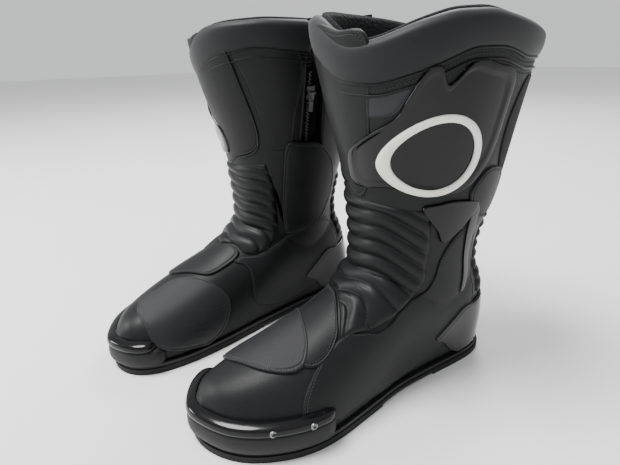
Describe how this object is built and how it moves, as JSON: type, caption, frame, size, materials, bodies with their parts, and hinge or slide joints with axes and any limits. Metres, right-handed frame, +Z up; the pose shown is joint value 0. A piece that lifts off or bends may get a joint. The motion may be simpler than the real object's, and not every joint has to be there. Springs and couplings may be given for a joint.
{
  "type": "riding boots",
  "caption": "Pair of tall protective riding boots with side zips, wrap-over closure flaps, moulded guards, flexing ankles and toe sliders.",
  "frame": {"origin": "middle of the pair's footprint, on the ground", "axes": "+Z up, toes towards -Y, the wearer's left boot at +X"},
  "size_m": [0.3364, 0.3505, 0.326],
  "materials": {
    "sole_rubber": "matt moulded tread",
    "welt_board": "satin edge with a pale seam line",
    "shank_steel": "cold rolled strip",
    "board": "pressed fibre board",
    "footbed_foam": "knit over foam",
    "upper_leather": "smooth microfibre leather, satin",
    "toe_box_board": "thermoformed sheet",
    "gloss_guard": "polished moulding",
    "shift_pad_rubber": "embossed, satin",
    "slider_body_plastic": "fine spark texture",
    "screw_steel": "blackened",
    "flex_leather": "quilted, satin",
    "collar_leather": "soft padded leather",
    "stretch_fabric": "ribbed elastic",
    "fleece_lining": "brushed knit",
    "white_badge": "satin moulding",
    "zip_tape": "woven tape",
    "zip_coil": "moulded coil",
    "hook_and_loop": "hook-and-loop pile",
    "zip_metal": "gunmetal"
  },
  "bodies": {
    "left_foot": {"left_outsole": "sole_rubber", "left_midsole": "welt_board", "left_shank": "shank_steel", "left_insole_board": "board", "left_footbed": "footbed_foam", "left_vamp": "upper_leather", "left_quarters": "upper_leather", "left_toe_box": "toe_box_board", "left_heel_counter": "gloss_guard", "left_shift_pad": "shift_pad_rubber", "left_toe_slider_body": "slider_body_plastic", "left_toe_slider_strip": "gloss_guard", "left_toe_slider_screws": "screw_steel", "left_front_flex_panel": "flex_leather", "left_rear_flex_panel": "flex_leather"},
    "left_shaft": {"left_shaft_shell": "upper_leather", "left_collar_pad": "collar_leather", "left_collar_gusset": "stretch_fabric", "left_shaft_lining": "fleece_lining", "left_rear_stretch_panel": "stretch_fabric", "left_shin_plate": "gloss_guard", "left_plate_badge": "white_badge", "left_ankle_brace": "gloss_guard", "left_zip_tapes": "zip_tape", "left_zip_coils": "zip_coil", "left_loop_patch": "hook_and_loop"},
    "left_slider": {"left_zip_slider": "zip_metal"},
    "left_pull": {"left_zip_pull": "zip_metal"},
    "left_flap": {"left_closure_flap": "upper_leather", "left_hook_patch": "hook_and_loop"},
    "right_foot": {"right_outsole": "sole_rubber", "right_midsole": "welt_board", "right_shank": "shank_steel", "right_insole_board": "board", "right_footbed": "footbed_foam", "right_vamp": "upper_leather", "right_quarters": "upper_leather", "right_toe_box": "toe_box_board", "right_heel_counter": "gloss_guard", "right_shift_pad": "shift_pad_rubber", "right_toe_slider_body": "slider_body_plastic", "right_toe_slider_strip": "gloss_guard", "right_toe_slider_screws": "screw_steel", "right_front_flex_panel": "flex_leather", "right_rear_flex_panel": "flex_leather"},
    "right_shaft": {"right_shaft_shell": "upper_leather", "right_collar_pad": "collar_leather", "right_collar_gusset": "stretch_fabric", "right_shaft_lining": "fleece_lining", "right_rear_stretch_panel": "stretch_fabric", "right_shin_plate": "gloss_guard", "right_plate_badge": "white_badge", "right_ankle_brace": "gloss_guard", "right_zip_tapes": "zip_tape", "right_zip_coils": "zip_coil", "right_loop_patch": "hook_and_loop"},
    "right_slider": {"right_zip_slider": "zip_metal"},
    "right_pull": {"right_zip_pull": "zip_metal"},
    "right_flap": {"right_closure_flap": "upper_leather", "right_hook_patch": "hook_and_loop"}
  },
  "joints": [
    {"name": "left_ankle_flex", "type": "hinge", "parent": "left_foot", "child": "left_shaft", "pos_m": [0.08853, 0.08794, 0.095], "axis": [0.9983, -0.0586, 0], "range_deg": [-8, 12], "stiffness_Nm_per_rad": 25, "deforming": ["left_front_flex_panel", "left_rear_flex_panel"]},
    {"name": "left_zip_slide", "type": "slide", "parent": "left_shaft", "child": "left_slider", "axis": [0.1389, -0.0082, -0.9903], "range_m": [0, 0.118]},
    {"name": "left_pull_hinge", "type": "hinge", "parent": "left_slider", "child": "left_pull", "pos_m": [0.02255, 0.07579, 0.25473], "axis": [0.0586, 0.9983, 0], "range_deg": [0, 150]},
    {"name": "left_flap_hinge", "type": "hinge", "parent": "left_shaft", "child": "left_flap", "pos_m": [0.04242, 0.04758, 0.108], "axis": [-0.1193, 0.007, 0.9928], "range_deg": [0, 110]},
    {"name": "right_boot_slide", "type": "slide", "parent": "left_foot", "child": "right_foot", "axis": [-1, 0, 0], "range_m": [0, 0.15]},
    {"name": "right_ankle_flex", "type": "hinge", "parent": "right_foot", "child": "right_shaft", "pos_m": [-0.08853, 0.05494, 0.095], "axis": [0.9983, 0.0586, 0], "range_deg": [-8, 12], "stiffness_Nm_per_rad": 25, "deforming": ["right_front_flex_panel", "right_rear_flex_panel"]},
    {"name": "right_zip_slide", "type": "slide", "parent": "right_shaft", "child": "right_slider", "axis": [-0.1389, -0.0082, -0.9903], "range_m": [0, 0.118]},
    {"name": "right_pull_hinge", "type": "hinge", "parent": "right_slider", "child": "right_pull", "pos_m": [-0.02255, 0.04279, 0.25473], "axis": [0.0586, -0.9983, 0], "range_deg": [0, 150]},
    {"name": "right_flap_hinge", "type": "hinge", "parent": "right_shaft", "child": "right_flap", "pos_m": [-0.04242, 0.01458, 0.108], "axis": [-0.1193, -0.007, -0.9928], "range_deg": [0, 110]}
  ]
}
